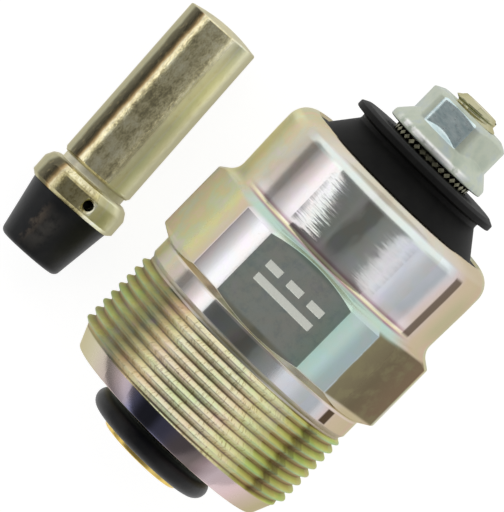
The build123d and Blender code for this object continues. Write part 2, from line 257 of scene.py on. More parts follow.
def housing_profile(angle):
    """Housing's closed profile at one angle, outside and inside."""
    r = hexagon_radius(angle, HEXAGON_APOTHEM, HEXAGON_CORNER)
    under_thread = THREAD_RADIUS - THREAD_DEPTH - UNDER_THREAD
    lower = HEXAGON_START + (r - COLLAR_RADIUS) * HEXAGON_LOWER_SLOPE
    upper = HEXAGON_TOP - (r - CAN_ROOT_RADIUS) * HEXAGON_UPPER_SLOPE
    return rounded(
        [
            (HOUSING_END, NOSE_SEAT_RADIUS, 0),
            (HOUSING_END, LEAD_END_RADIUS, 0.15),
            (THREAD_START, LEAD_ROOT_RADIUS - 0.05, 0),
            (THREAD_START + 0.3, under_thread, 0),
            (THREAD_TOP - 0.3, under_thread, 0),
            (THREAD_TOP - 0.05, RUN_OUT_RADIUS, 0),
            (THREAD_TOP + 0.16, RUN_OUT_RADIUS, 0.08),
            (THREAD_TOP + 0.56, COLLAR_RADIUS, 0.08),
            (HEXAGON_START - 0.35, COLLAR_RADIUS, 0.0),
            (HEXAGON_START, COLLAR_RADIUS + 0.02, 0.2),
            (lower, r, EDGE),
            (upper, r, EDGE),
            (HEXAGON_TOP, CAN_ROOT_RADIUS, CAN_FILLET),
            (HEXAGON_TOP + CAN_TAPER, CAN_RADIUS, 0.6),
            *can_shoulder(),
            (HOUSING_TOP - LIP_LENGTH, LIP_BORE_RADIUS, 0),
            (HOUSING_TOP - LIP_LENGTH, CAVITY_RADIUS, 0),
            (CAVITY_FLOOR, CAVITY_RADIUS, 0),
            (CAVITY_FLOOR, NOSE_SEAT_RADIUS, 0),
        ],
        loop=True,
    )


def housing_envelope(x):
    """Largest and smallest radius of the housing's thread at a level."""
    lead_in = LEAD_ROOT_RADIUS + x - THREAD_START
    run_out = RUN_OUT_RADIUS + (THREAD_TOP - x) * RUN_OUT_SLOPE
    return min(THREAD_RADIUS, lead_in, run_out), THREAD_RADIUS - THREAD_DEPTH


def make_housing():
    angles = hexagon_angles(HEXAGON_APOTHEM, HEXAGON_CORNER)
    body = skin("housing_body", [(angle, housing_profile(angle)) for angle in angles], loop=True)
    band = thread(
        "housing_thread", THREAD_START, THREAD_TOP, THREAD_RADIUS, THREAD_PITCH, THREAD_DEPTH,
        THREAD_PHASE, housing_envelope,
    )
    whole = join("housing_turned", [body, band])
    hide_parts("housing")
    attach(whole, "solenoid")
    return whole


def make_nose():
    """Guide tube, nose seal and the bush's boss."""
    tube_start, tube_stop = level("guide_tube", 0), level("guide_tube", 1)
    tube_radius = reach("guide_tube")
    tube = lathe(
        "guide_tube_drawn",
        [
            (tube_start, TUBE_BORE_RADIUS, 0.1),
            (tube_start, tube_radius, 0.14),
            (tube_stop, tube_radius, 0),
            (tube_stop, TUBE_BORE_RADIUS, 0),
        ],
        loop=True,
    )
    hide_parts("guide_tube")
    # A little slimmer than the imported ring, and against its inner end
    section = (level("nose_o_ring", 1) - level("nose_o_ring", 0)) / 2 - 0.08
    middle, radius = level("nose_o_ring", 1) - section, reach("nose_o_ring") - section
    circle = [
        Vector((middle - section * cos(turn), radius + section * sin(turn))) for turn in even_angles(32)
    ]
    ring = skin("nose_ring", [(angle, circle) for angle in even_angles()], loop=True)
    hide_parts("nose_o_ring")
    bush_start, bush_stop = level("nose_bush", 0), level("nose_bush", 1)
    boss, bush_bore, seat = 5.4, tube_radius + CLEARANCE, NOSE_SEAT_RADIUS - CLEARANCE
    bush = lathe(
        "nose_bush_turned",
        [
            (bush_start, bush_bore, 0),
            (bush_start, boss, 0.2),
            (HOUSING_END, boss, 0.1),
            (HOUSING_END, seat, 0),
            (CAVITY_FLOOR, seat, 0),
            (CAVITY_FLOOR, CONTENTS_RADIUS, 0),
            (bush_stop, CONTENTS_RADIUS, 0),
            (bush_stop, bush_bore, 0),
        ],
        loop=True,
    )
    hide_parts("nose_bush")
    for piece in (tube, ring, bush):
        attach(piece, "solenoid")
    return tube, ring, bush


def make_insulator():
    start, stop = level("terminal_insulator", 0), level("terminal_insulator", 1)
    bore, neck, flange, flange_top = 2.52, 7.0, 8.05, 7.45
    cone_step = 0.85
    lip_start = HOUSING_TOP - LIP_LENGTH
    step, step_top = LIP_BORE_RADIUS - 0.1, HOUSING_TOP - 0.25
    neck_start = step_top + 2.5
    flange_start = neck_start + 0.5
    piece = lathe(
        "terminal_insulator_moulded",
        [
            (start, bore, 0),
            (start, CONTENTS_RADIUS, 0),
            (lip_start, CONTENTS_RADIUS, 0),
            (lip_start, step, 0),
            (step_top, step, 0.1),
            (step_top, step - cone_step, 0.15),
            (neck_start, neck, 0.3),
            (flange_start, neck, 0.2),
            (flange_start + 0.15, flange, 0.12),
            (stop - 0.3, flange, 0.12),
            (stop, flange_top, 0.2),
            (stop, bore, 0.1),
        ],
        loop=True,
    )
    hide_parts("terminal_insulator")
    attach(piece, "solenoid")
    return piece


def make_stud():
    """Stud with its thread, from inside the insulator to its chamfered end."""
    start, stop = level("terminal_insulator", 1) - 0.5, level("terminal_stud", 1)
    shank, root, end, end_slope = 2.5, STUD_RADIUS - STUD_DEPTH, 1.75, 1.15
    core = lathe(
        "stud_core",
        [
            (level("terminal_stud", 0), 0, 0),
            (level("terminal_stud", 0), shank, 0),
            (start, shank, 0),
            (start, root - 0.02, 0),
            (stop - 0.15, root - 0.12, 0),
            (stop, end, 0.08),
            (stop, 0, 0),
        ],
        count=96,
    )

    def envelope(x):
        return min(STUD_RADIUS, end + 0.03 + (stop - x) * end_slope), root

    band = thread(
        "stud_thread", start, stop, STUD_RADIUS, STUD_PITCH, STUD_DEPTH, STUD_PHASE, envelope, count=96
    )
    whole = join("terminal_stud_threaded", [core, band])
    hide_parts("terminal_stud")
    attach(whole, "solenoid")
    return whole


def make_nut():
    """Flange nut; its hexagon ends in a turned chamfer at the top and in the flange's cone below."""
    start, stop = level("terminal_nut", 0), level("terminal_nut", 1)
    turned = radians(13.0)
    apothem, corner, flange = 4.0, 4.375, 5.375
    rim, skirt, chamfer = 0.65, 1.1, 0.45
    mouth, mouth_slope = 2.84, 1.2
    root, depth = STUD_RADIUS + 0.06, STUD_DEPTH - 0.05

    def profile(angle):
        r = hexagon_radius(angle, apothem, corner, -turned)
        cone_top = start + rim + skirt * (flange - r) / (flange - corner)
        chamfer_start = stop - (r - (corner - 2 * chamfer)) * 0.5
        return rounded(
            [
                (start, mouth, 0),
                (start, flange, 0.12),
                (start + rim, flange, 0.5),
                (cone_top, r, 0.3),
                (chamfer_start, r, 0.2),
                (stop, corner - 2 * chamfer, 0.12),
                (stop, mouth, 0),
            ],
            loop=True,
        )

    angles = hexagon_angles(apothem, corner, -turned, flat_columns=8, strip_columns=2, close=radians(2.8))
    forging = skin("nut_forging", [(angle, profile(angle)) for angle in angles], loop=True)

    def envelope(x):
        countersink = mouth - mouth_slope * min(x - start, stop - x)
        return max(root, countersink), max(root - depth, countersink)

    # In step with the stud's thread and clear of it all round
    band = thread(
        "nut_thread", start, stop, root, STUD_PITCH, depth, STUD_PHASE, envelope, count=96, inner=True
    )
    piece = join("terminal_nut_forged", [forging, band])
    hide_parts("terminal_nut")
    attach(piece, "nut")
    return piece


# The plunger's own measures, from its rubber tip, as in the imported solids
TIP_LENGTH = 5.8
TIP_END_RADIUS = 3.2
TIP_ROOT_RADIUS = 4.175
CUP_LENGTH = 2.95
CUP_RADIUS = 4.675
CUP_MOUTH_RADIUS = 4.25
POCKET_RADIUS = 3.45
NECK_LENGTH = 0.65
NECK_RADIUS = 3.4
SHANK_LENGTH = 17.45
SHANK_RADIUS = 3.75
SHANK_CROWN = 0.45
VENT_RADIUS = 0.5
VENT_LIFT = 1.2
VENT_AZIMUTH = radians(22.0)
PLUNGER_FORWARD = -8.5
PLUNGER_BESIDE = 20.3
PLUNGER_YAW = radians(3.3)
POCKET_DEPTH = 2.3
CUP_END = TIP_LENGTH + CUP_LENGTH
NECK_END = CUP_END + NECK_LENGTH
SHANK_END = NECK_END + SHANK_LENGTH


def plunger_lie():
    """How the plunger leans, lying on its cup's rim and its shank's far edge, and where its tip is."""
    cup_contact = CUP_END - 0.55
    end_contact = SHANK_END - 0.15
    nod = atan((CUP_RADIUS - SHANK_RADIUS) / (end_contact - cup_contact))
    height = CUP_RADIUS * cos(nod) + cup_contact * sin(nod) - HEXAGON_APOTHEM
    return nod, Vector((PLUNGER_FORWARD, PLUNGER_BESIDE, height))


def lay_plunger(piece):
    """Lays a piece that was made along +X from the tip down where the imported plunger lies."""
    nod, tip_place = plunger_lie()
    turn = Matrix.Rotation(PLUNGER_YAW, 4, "Z") @ Matrix.Rotation(nod, 4, "Y")
    piece.data.transform(Matrix.Translation(tip_place * MM) @ turn)


def drill_vent(body):
    """Cuts the vent hole with its countersunk rim through the cup's wall."""
    # Height over the cup's side and radius; the drill widens by as much as it rises past the sink's foot
    sink = -0.14
    outline = [(-1.6, VENT_RADIUS)] + [(h, VENT_RADIUS + h - sink) for h in (sink, 0.06, 0.6)]
    shape = bmesh.new()
    rings = [
        [shape.verts.new((r * cos(turn), r * sin(turn), h)) for turn in even_angles(32)] for h, r in outline
    ]
    for low, high in zip(rings, rings[1:]):
        for i in range(len(low)):
            shape.faces.new((low[i - 1], low[i], high[i], high[i - 1]))
    shape.faces.new(rings[0][::-1])
    shape.faces.new(rings[-1])
    drill = make_object("drill", shape)
    spot = Matrix.Translation(Vector((TIP_LENGTH + VENT_LIFT, 0, 0)) * MM)
    turn = Matrix.Rotation(VENT_AZIMUTH, 4, "X")
    out = Matrix.Translation(Vector((0, 0, CUP_RADIUS)) * MM)
    drill.data.transform(spot @ turn @ out @ Matrix.Scale(MM, 4))
    cut = body.modifiers.new("vent", "BOOLEAN")
    cut.operation = "DIFFERENCE"
    cut.solver = "EXACT"
    cut.object = drill
    graph = bpy.context.evaluated_depsgraph_get()
    result = bpy.data.meshes.new_from_object(body.evaluated_get(graph))
    body.modifiers.clear()
    body.data = result
    bpy.data.objects.remove(drill)


def make_plunger():
    """Plunger with its crowned end and its vent, and its rubber tip, laid beside the solenoid."""
    mouth_bevel, shoulder, shoulder_foot = 0.36, 0.95, 0.85
    plug_end, plug_radius = TIP_LENGTH + 1.3, POCKET_RADIUS - CLEARANCE
    end_face = SHANK_RADIUS - 0.15
    ball = (end_face**2 + SHANK_CROWN**2) / (2 * SHANK_CROWN)
    half_cap = asin(end_face / ball)
    crown = [
        (SHANK_END + SHANK_CROWN - ball * (1 - cos(half_cap * i / 8)), ball * sin(half_cap * i / 8), 0)
        for i in range(7, -1, -1)
    ]
    body = lathe(
        "plunger_turned",
        [
            (TIP_LENGTH + POCKET_DEPTH, 0, 0),
            (TIP_LENGTH + POCKET_DEPTH, POCKET_RADIUS, 0),
            (TIP_LENGTH, POCKET_RADIUS, 0),
            (TIP_LENGTH, CUP_MOUTH_RADIUS, 0.08),
            (TIP_LENGTH + mouth_bevel, CUP_RADIUS, 0.12),
            (CUP_END - shoulder, CUP_RADIUS, 0.4),
            (CUP_END - 0.25, CUP_RADIUS - 0.4, 0.3),
            (CUP_END, CUP_RADIUS - shoulder_foot, 0.2),
            (CUP_END, NECK_RADIUS, 0.1),
            (NECK_END, NECK_RADIUS, 0.1),
            (NECK_END, SHANK_RADIUS - 0.2, 0.0),
            (NECK_END + 0.3, SHANK_RADIUS, 0.1),
            (SHANK_END, SHANK_RADIUS, 0.2),
            *crown,
        ],
    )
    drill_vent(body)
    lay_plunger(body)
    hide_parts("plunger")
    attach(body, "solenoid")
    tip = lathe(
        "valve_tip_rubber",
        [
            (0.25, 0, 0),
            (0.14, 1.2, 0.5),
            (0.0, 1.95, 0.3),
            (0.0, TIP_END_RADIUS, 0.62),
            (TIP_LENGTH, TIP_ROOT_RADIUS, 0.05),
            (TIP_LENGTH, plug_radius, 0),
            (plug_end, plug_radius, 0),
            (plug_end, 0, 0),
        ],
    )
    lay_plunger(tip)
    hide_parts("valve_tip")
    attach(tip, "solenoid")
    return body, tip


class Nodes:
    """Node tree that is built by kind of node, with inputs by name or number."""

    def __init__(self, tree):
        self.tree = tree

    def feed(self, socket, value):
        """Links a node's output to a socket, or sets the socket to a value."""
        if isinstance(value, bpy.types.NodeSocket):
            self.tree.links.new(value, socket)
        elif socket.type == "RGBA":
            socket.default_value = (*value, 1)
        else:
            socket.default_value = value

    def add(self, kind, inputs=None, **settings):
        node = self.tree.nodes.new("ShaderNode" + kind)
        for key, value in settings.items():
            setattr(node, key, value)
        for key, value in (inputs or {}).items():
            self.feed(node.inputs[key], value)
        return node

    def math(self, operation, *values):
        return self.add("Math", dict(enumerate(values)), operation=operation).outputs[0]

    def times(self, first, second):
        return self.math("MULTIPLY", first, second)

    def plus(self, first, second):
        return self.math("ADD", first, second)

    def minus(self, first, second):
        return self.math("SUBTRACT", first, second)

    def absolute(self, value):
        return self.math("ABSOLUTE", value)

    def axes(self, vector):
        return self.add("SeparateXYZ", {0: vector}).outputs

    def ramp(self, factor, *stops):
        """Colour at a factor between (place, red, green, blue) stops."""
        node = self.add("ValToRGB", {"Fac": factor})
        elements = node.color_ramp.elements
        while len(elements) < len(stops):
            elements.new(0.5)
        for element, (position, *colour) in zip(elements, stops):
            element.position = position
            element.color = (*colour, 1)
        return node.outputs["Color"]

    def mix(self, factor, first, second, blend="MIX"):
        inputs = {0: factor, 6: first, 7: second}
        return self.add("Mix", inputs, data_type="RGBA", blend_type=blend).outputs[2]

    def share(self, value, start, stop):
        """Where a value lies between two others, from 0 to 1."""
        return self.add("MapRange", {"Value": value, "From Min": start, "From Max": stop}).outputs["Result"]

    def step(self, value, start, stop):
        """Smooth rise from 0 at start to 1 at stop, which may lie on either side of it."""
        if start > stop:
            return self.minus(1.0, self.step(value, stop, start))
        inputs = {"Value": value, "From Min": start, "From Max": stop}
        return self.add("MapRange", inputs, interpolation_type="SMOOTHSTEP").outputs["Result"]

    def between(self, value, start, full, still_full, end):
        """1 between two places, with a smooth rise before the first and a smooth fall after the second."""
        return self.times(self.step(value, start, full), self.step(value, end, still_full))

    def box(self, value, middle, half, soft=0.04):
        """1 within half of the middle, with soft edges."""
        return self.step(self.absolute(self.minus(value, middle)), half + soft, half - soft)


class Shader(Nodes):
    """One procedural material, with its surface shader to be set."""

    def __init__(self, name):
        self.material = bpy.data.materials.new(name)
        self.material.use_nodes = True
        super().__init__(self.material.node_tree)

    def set(self, **inputs):
        """Feeds the surface's inputs, named with _ for each blank, and gives the finished material."""
        surface = self.tree.nodes["Principled BSDF"]
        for key, value in inputs.items():
            self.feed(surface.inputs[key.replace("_", " ")], value)
        return self.material

    def position(self):
        """Place in the row frame, in millimetres."""
        return self.scaled(self.add("TexCoord").outputs["Object"], 1 / MM)

    def vector(self, x, y, z):
        return self.add("CombineXYZ", {0: x, 1: y, 2: z}).outputs[0]

    def scaled(self, vector, factor):
        return self.add("VectorMath", {0: vector, "Scale": factor}, operation="SCALE").outputs[0]

    def unit(self, vector):
        return self.add("VectorMath", {0: vector}, operation="NORMALIZE").outputs[0]

    def joined(self, first, second):
        return self.add("VectorMath", {0: first, 1: second}, operation="ADD").outputs[0]

    def noise(self, vector, scale, detail=3.0, roughness=0.5):
        inputs = {"Vector": vector, "Scale": scale, "Detail": detail, "Roughness": roughness}
        return self.add("TexNoise", inputs).outputs["Fac"]

    def wander(self, value, noise, width):
        """Value moved up and down by a noise."""
        return self.plus(value, self.times(self.minus(noise, 0.5), width))

    def bump(self, *layers, normal=None):
        """Normal from (height, distance in millimetres) layers, over another normal if one is given."""
        for height, distance in layers:
            inputs = {"Height": height, "Strength": 1.0, "Distance": distance * MM}
            if normal is not None:
                inputs["Normal"] = normal
            normal = self.add("Bump", inputs).outputs[0]
        return normal

    def bands(self, angle, *stops):
        """Colour ramp over (degrees, red, green, blue) stops from -180 to 180."""
        shares = (((degrees + 180) / 360, *colour) for degrees, *colour in stops)
        return self.ramp(self.share(angle, -180.0, 180.0), *shares)

    def turn_normal(self, place, tilt, soften):
        """The surface's normal, tilted round the axis as brushed lines do, and softened outwards."""
        _, y, z = self.axes(place)
        outward = self.scaled(self.unit(self.vector(0.0, y, z)), soften)
        lean = self.scaled(self.unit(self.vector(0.0, self.times(z, -1.0), y)), tilt)
        plain = self.add("NewGeometry").outputs["Normal"]
        return self.unit(self.joined(self.joined(plain, lean), outward))


def wrapped(s, place, radius=12.0):
    """Coordinates on a turned piece: length round the axis, level along it, and the angle in degrees."""
    x, y, z = s.axes(place)
    angle = s.math("ARCTAN2", s.times(y, -1.0), z)
    return s.times(angle, radius), x, s.times(angle, 180 / pi)


def etched_mark(s, x, y, z):
    """Mask of a plain direct-current sign, a bar over three dashes, on the hexagon's top flat."""
    wide = s.absolute(y)
    bar = s.times(s.box(x, 6.35, 0.36), s.box(wide, 0.0, 3.3))
    dashes = s.plus(s.box(wide, 0.0, 0.8), s.box(wide, 2.5, 0.8))
    dashes = s.times(s.box(x, 7.85, 0.36), dashes)
    on_top = s.math("GREATER_THAN", z, HEXAGON_APOTHEM - 0.1)
    return s.times(on_top, s.math("MINIMUM", s.plus(bar, dashes), 1.0))


def thread_tint_and_painted_light(s, x, angle, around, along):
    """Gold thread with painted light: crests painted pale as highlights and roots painted dark as shade,
    green and pink flanks, and a belt left of the middle painted darker as a dark reflection.
    """
    turns = s.math("DIVIDE", s.minus(x, THREAD_PHASE), THREAD_PITCH)
    share = s.math("FRACT", s.minus(turns, s.math("DIVIDE", angle, 360.0)))
    # Towards the sides: greener and pinker flanks, with the roots painted dark as shade
    outer = s.ramp(
        share,
        (0.00, 0.66, 0.74, 0.50), (0.07, 0.68, 0.72, 0.38), (0.20, 0.64, 0.64, 0.24),
        (0.38, 0.44, 0.40, 0.16), (0.50, 0.30, 0.20, 0.12), (0.62, 0.50, 0.38, 0.26),
        (0.80, 0.62, 0.50, 0.36), (0.93, 0.50, 0.70, 0.58), (1.00, 0.66, 0.74, 0.50),
    )
    # Towards the middle: crests painted pale as highlights and roots painted dark as shade
    inner = s.ramp(
        share,
        (0.00, 1.00, 0.98, 0.84), (0.12, 1.00, 0.96, 0.72), (0.38, 0.98, 0.90, 0.62),
        (0.45, 0.34, 0.24, 0.14), (0.50, 0.14, 0.10, 0.06), (0.55, 0.34, 0.24, 0.14),
        (0.62, 0.96, 0.88, 0.64), (0.90, 1.00, 0.96, 0.76), (1.00, 1.00, 0.98, 0.84),
    )
    patch = s.noise(s.vector(s.times(around, 0.4), along, 3.0), 0.8, 4.0, 0.65)
    off = s.wander(s.absolute(angle), patch, 24.0)
    tint = s.mix(s.step(off, 22.0, 48.0), inner, outer)
    wander = s.wander(angle, patch, 16.0)
    # Painted reflection by the way it faces: a dark belt left of the middle, a dark seam line at 52 degrees,
    # and paler far sides
    shade = s.bands(
        wander,
        (-180, 0.80, 0.80, 0.80), (-74, 0.92, 0.95, 0.88), (-58, 0.78, 0.82, 0.60),
        (-49, 0.38, 0.35, 0.23), (-40, 0.25, 0.21, 0.14), (-33, 0.54, 0.43, 0.33),
        (-25, 0.90, 0.81, 0.70), (-18, 1.00, 1.00, 1.00), (14, 1.00, 1.00, 1.00),
        (21, 0.88, 0.90, 0.76), (34, 0.76, 0.80, 0.58), (47, 0.66, 0.68, 0.48),
        (52, 0.30, 0.28, 0.18), (57, 0.64, 0.68, 0.52), (70, 0.90, 0.94, 0.84),
        (180, 0.88, 0.88, 0.84),
    )
    tint = s.mix(1.0, tint, shade, "MULTIPLY")
    hue = s.ramp(
        s.noise(s.vector(s.times(around, 0.25), along, 7.0), 0.9, 3.0, 0.6),
        (0.36, 0.86, 1.00, 0.80), (0.50, 1.00, 0.98, 0.88), (0.64, 1.00, 0.88, 0.86),
    )
    tint = s.mix(1.0, tint, hue, "MULTIPLY")
    hatch = s.ramp(
        s.noise(s.vector(s.times(along, 0.45), around, 2.0), 4.2, 3.0, 0.7),
        (0.34, 0.56, 0.50, 0.40), (0.44, 0.92, 0.88, 0.80), (0.50, 1.0, 1.0, 1.0),
    )
    return s.mix(s.step(s.absolute(wander), 44.0, 26.0), tint, hatch, "MULTIPLY")


# Stretches of the housing along the axis, in millimetres: start of fading in, full, still full, gone
ZONES = {
    "thread": (-8.2, -8.0, -0.2, -0.1),
    "seam_reflection_thread": (-8.1, -7.8, -0.4, -0.2),
    "groove": (-0.1, 0.05, 0.56, 0.66),
    "collar_dark_reflection": (0.60, 0.72, 2.05, 2.2),
    "seam_reflection_collar": (0.6, 0.75, 2.0, 2.15),
    "collar_end": (2.05, 2.15, 2.3, 2.4),
    "lower_cone": (2.2, 2.4, 2.8, 3.3),
    "hexagon": (2.9, 3.2, 10.15, 10.45),
    "upper_cone": (9.9, 10.5, 11.6, 13.0),
    "seam_reflection_can": (11.1, 11.5, 17.9, 18.3),
    "can_side": (11.2, 13.4, 15.6, 18.2),
    "brushed_can": (11.6, 12.2, 17.4, 18.0),
    "shoulder": (17.7, 18.0, 18.5, 18.8),
}


def turned_tint_and_reflection(s, angle, cloud):
    """Plating of the collar and the can by the way that it faces, with painted reflections: a narrow dark
    band where it faces straight up and pale bands towards the sides.
    """
    return s.bands(
        s.wander(angle, cloud, 22.0),
        (-180, 0.50, 0.42, 0.22), (-120, 0.54, 0.46, 0.27), (-88, 0.94, 0.86, 0.56),
        (-68, 1.00, 0.92, 0.60), (-57, 0.74, 0.62, 0.46), (-47, 0.50, 0.43, 0.38),
        (-38, 0.60, 0.53, 0.53), (-34, 0.82, 0.70, 0.72), (-24, 0.88, 0.82, 0.88),
        (-10, 0.74, 0.80, 0.76), (-4.6, 0.70, 0.73, 0.70), (-3.6, 0.42, 0.43, 0.41),
        (3.2, 0.42, 0.43, 0.41), (4.4, 0.66, 0.70, 0.67), (8, 0.74, 0.78, 0.76),
        (18, 0.84, 0.84, 0.92), (28, 0.64, 0.64, 0.76), (33, 0.70, 0.70, 0.78),
        (43, 0.54, 0.58, 0.62), (49, 0.62, 0.53, 0.52), (60, 0.60, 0.49, 0.36),
        (72, 0.58, 0.50, 0.36), (80, 0.62, 0.48, 0.40), (88, 0.58, 0.51, 0.33),
        (130, 0.46, 0.44, 0.24), (180, 0.50, 0.42, 0.22),
    )


def face_tint_and_reflection(s, x, y, z, angle, painted_dark_face):
    """Plating of the hexagon: a tint for each face and corner, the face at 60 degrees painted near black as a
    dark reflection, two faces blotched and the top one stained.
    """
    tint = s.bands(
        angle,
        (-180, 0.50, 0.46, 0.24), (-142, 0.38, 0.32, 0.19), (-98.5, 0.40, 0.34, 0.21),
        (-98, 0.62, 0.60, 0.50), (-82.5, 0.60, 0.52, 0.38), (-82, 0.64, 0.50, 0.40),
        (-74, 0.60, 0.54, 0.30), (-50, 0.60, 0.58, 0.27), (-39, 0.56, 0.44, 0.36),
        (-38, 0.70, 0.60, 0.64), (-30, 0.92, 0.90, 0.96), (-22, 0.80, 0.76, 0.80),
        (-21.6, 0.82, 0.92, 0.86), (-16, 0.90, 0.94, 0.88), (12, 0.90, 0.92, 0.88),
        (21.6, 0.66, 0.86, 0.76), (22, 0.44, 0.66, 0.62), (38, 0.46, 0.56, 0.62),
        # From 38.4 to 81.6 degrees: the face painted near black as a dark reflection
        (38.4, 0.18, 0.16, 0.10), (60, 0.135, 0.11, 0.072), (81.6, 0.18, 0.125, 0.085),
        (82, 0.50, 0.46, 0.32), (98, 0.50, 0.46, 0.32), (98.5, 0.42, 0.42, 0.22),
        (142, 0.48, 0.43, 0.23), (180, 0.50, 0.46, 0.24),
    )
    blotch = s.noise(s.vector(x, s.times(y, 0.8), s.times(z, 0.8)), 0.55, 5.0, 0.62)
    olive = s.times(painted_dark_face, s.step(blotch, 0.46, 0.62))
    tint = s.mix(s.times(olive, 0.7), tint, (0.19, 0.17, 0.10))
    rosy = s.times(s.step(angle, -38.0, -40.0), s.step(blotch, 0.52, 0.40))
    tint = s.mix(s.times(rosy, 0.5), tint, (0.60, 0.46, 0.38))
    stain = s.noise(s.vector(x, y, 0.0), 0.8, 6.0, 0.7)
    stain = s.ramp(stain, (0.32, 0.74, 0.80, 0.86), (0.50, 0.96, 0.98, 0.96), (0.62, 1.0, 1.0, 1.0))
    return s.mix(s.step(s.absolute(angle), 24.0, 21.0), tint, stain, "MULTIPLY")


def cone_tint_and_reflection(s, angle, cloud):
    """Plating of the lead-in cone at the nose, painted nearly black where it faces up as a dark reflection.
    """
    return s.bands(
        s.wander(angle, cloud, 8.0),
        (-180, 0.50, 0.44, 0.30), (-90, 0.64, 0.60, 0.40), (-58, 0.62, 0.58, 0.42),
        (-31, 0.50, 0.40, 0.40), (-22, 0.36, 0.31, 0.36), (-17, 0.20, 0.20, 0.32),
        (-12, 0.05, 0.05, 0.07), (-6, 0.04, 0.04, 0.055), (-2, 0.15, 0.15, 0.24),
        (4, 0.17, 0.16, 0.24), (10, 0.20, 0.165, 0.18), (22, 0.18, 0.145, 0.14),
        (27, 0.32, 0.24, 0.25), (34, 0.70, 0.57, 0.60), (48, 0.66, 0.50, 0.50),
        (70, 0.52, 0.46, 0.30), (180, 0.50, 0.44, 0.30),
    )


def ring_tint_and_highlight(s, x):
    """Rings of colour from the hexagon's upper cone to the can's root, with a painted highlight line between
    two painted dark lines on the can's root fillet.
    """
    return s.ramp(
        s.share(x, 9.6, 13.2),
        (0.00, 0.46, 0.66, 0.56), (0.34, 0.46, 0.62, 0.56), (0.40, 0.34, 0.18, 0.24),
        (0.45, 0.94, 0.84, 0.52), (0.49, 0.96, 0.88, 0.70), (0.53, 0.40, 0.22, 0.28),
        (0.62, 0.74, 0.66, 0.70), (1.00, 0.80, 0.76, 0.80),
    )


def bloom_tint(s, place):
    """Large soft patches of pink, olive, green and lilac."""
    return s.ramp(
        s.noise(place, 0.42, 4.0, 0.6),
        (0.30, 0.76, 0.54, 0.60), (0.44, 0.64, 0.60, 0.36), (0.56, 0.52, 0.66, 0.50),
        (0.70, 0.62, 0.60, 0.72),
    )


